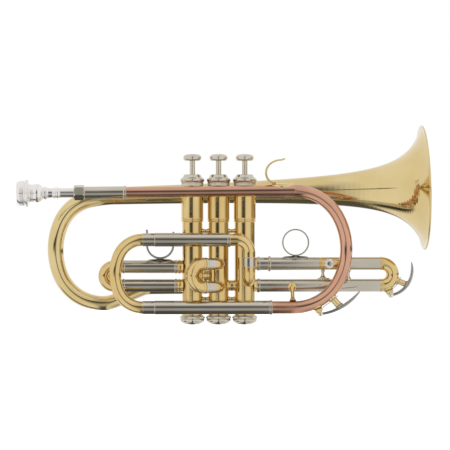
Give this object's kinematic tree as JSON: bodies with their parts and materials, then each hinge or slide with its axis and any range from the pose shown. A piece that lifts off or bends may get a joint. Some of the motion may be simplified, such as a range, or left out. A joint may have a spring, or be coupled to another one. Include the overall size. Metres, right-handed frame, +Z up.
{
  "type": "cornet",
  "caption": "Piston cornet with bell, leadpipe, main tuning slide, pull-out valve slides, finger ring, thumb saddle and sprung water keys.",
  "frame": {"origin": "on the axis of the middle valve, near the middle of the valve cluster, where the left hand grips it", "axes": "+X towards the bell, along the leadpipe and slides; +Z up along the valves, towards the finger buttons; -Y the player's right side"},
  "size_m": [0.3881, 0.119, 0.1891],
  "materials": {
    "yellow_brass": "polished, clear lacquer",
    "rose_brass": "polished rose brass, clear lacquer",
    "nickel_silver": "polished nickel silver",
    "silver_plate": "polished silver plate",
    "dark_steel": "polished spring steel and dark nickel plate",
    "cork": "natural cork"
  },
  "bodies": {
    "root": {"receiver": "nickel_silver", "leadpipe": "rose_brass", "front_bow": "rose_brass", "tuning_outer_lower": "nickel_silver", "tuning_outer_upper": "nickel_silver", "valve_inlet_elbow": "yellow_brass", "inlet_ferrule": "nickel_silver", "casing_1": "yellow_brass", "casing_2": "yellow_brass", "casing_3": "yellow_brass", "top_cap_1": "nickel_silver", "top_cap_2": "nickel_silver", "top_cap_3": "nickel_silver", "bottom_caps": "nickel_silver", "spring_1": "dark_steel", "spring_2": "dark_steel", "spring_3": "dark_steel", "casing_braces": "yellow_brass", "valve_cross_tubes": "yellow_brass", "first_slide_outer": "nickel_silver", "thumb_saddle": "nickel_silver", "second_slide_elbows": "yellow_brass", "second_slide_outer": "nickel_silver", "third_slide_outer": "nickel_silver", "finger_ring": "nickel_silver", "bell": "yellow_brass", "bell_tail": "yellow_brass", "tail_elbow": "yellow_brass", "pinky_hook": "yellow_brass", "tube_braces": "nickel_silver", "bow_key_saddle": "yellow_brass", "bow_key_spring": "dark_steel"},
    "mouthpiece": {"mouthpiece": "silver_plate"},
    "tuning_slide": {"tuning_crook": "yellow_brass", "tuning_inner_tubes": "nickel_silver"},
    "valve_1": {"piston_1": "nickel_silver", "stem_1": "nickel_silver", "button_1": "nickel_silver"},
    "valve_2": {"piston_2": "nickel_silver", "stem_2": "nickel_silver", "button_2": "nickel_silver"},
    "valve_3": {"piston_3": "nickel_silver", "stem_3": "nickel_silver", "button_3": "nickel_silver"},
    "first_slide": {"first_slide_inner": "nickel_silver", "first_slide_crook": "yellow_brass"},
    "second_slide": {"second_slide_inner": "nickel_silver", "second_slide_crook": "yellow_brass", "second_slide_knob": "yellow_brass"},
    "third_slide": {"third_slide_inner": "nickel_silver", "third_slide_moving_tubes": "nickel_silver", "third_slide_crook": "yellow_brass", "third_slide_moving_brace": "nickel_silver", "slide_key_saddle": "yellow_brass", "slide_key_spring": "dark_steel"},
    "bow_key": {"bow_key_lever": "dark_steel", "bow_key_cork": "cork"},
    "slide_key": {"slide_key_lever": "dark_steel", "slide_key_cork": "cork"},
    "lock_screw": {"lock_screw": "silver_plate"}
  },
  "joints": [
    {"name": "mouthpiece_pull", "type": "slide", "parent": "root", "child": "mouthpiece", "axis": [-0.9999, 0, -0.0105], "range_m": [0, 0.024]},
    {"name": "tuning_slide_pull", "type": "slide", "parent": "root", "child": "tuning_slide", "axis": [-1, 0, 0], "range_m": [0, 0.04]},
    {"name": "valve_1_press", "type": "slide", "parent": "root", "child": "valve_1", "axis": [0, 0, -1], "range_m": [0, 0.0125], "stiffness_N_per_m": 120, "springref_m": -0.017, "deforming": ["spring_1"]},
    {"name": "valve_2_press", "type": "slide", "parent": "root", "child": "valve_2", "axis": [0, 0, -1], "range_m": [0, 0.0125], "stiffness_N_per_m": 120, "springref_m": -0.017, "deforming": ["spring_2"]},
    {"name": "valve_3_press", "type": "slide", "parent": "root", "child": "valve_3", "axis": [0, 0, -1], "range_m": [0, 0.0125], "stiffness_N_per_m": 120, "springref_m": -0.017, "deforming": ["spring_3"]},
    {"name": "first_slide_pull", "type": "slide", "parent": "root", "child": "first_slide", "axis": [-1, 0, 0], "range_m": [0, 0.025]},
    {"name": "second_slide_pull", "type": "slide", "parent": "root", "child": "second_slide", "axis": [-0.9063, -0.4226, 0], "range_m": [0, 0.008]},
    {"name": "third_slide_pull", "type": "slide", "parent": "root", "child": "third_slide", "axis": [1, 0, 0], "range_m": [0, 0.03]},
    {"name": "bow_key_open", "type": "hinge", "parent": "root", "child": "bow_key", "pos_m": [0.09527, -0.017, -0.05981], "axis": [0, 1, 0], "range_deg": [0, 20], "stiffness_Nm_per_rad": 0.02, "springref_deg": -45.84},
    {"name": "slide_key_open", "type": "hinge", "parent": "third_slide", "child": "slide_key", "pos_m": [0.1631, 0, -0.04265], "axis": [0, 1, 0], "range_deg": [0, 20], "stiffness_Nm_per_rad": 0.015, "springref_deg": -45.84},
    {"name": "lock_screw_turn", "type": "hinge", "parent": "root", "child": "lock_screw", "pos_m": [0.104, -0.0082, -0.0128], "axis": [0, -1, 0], "range_deg": [0, 360]}
  ]
}
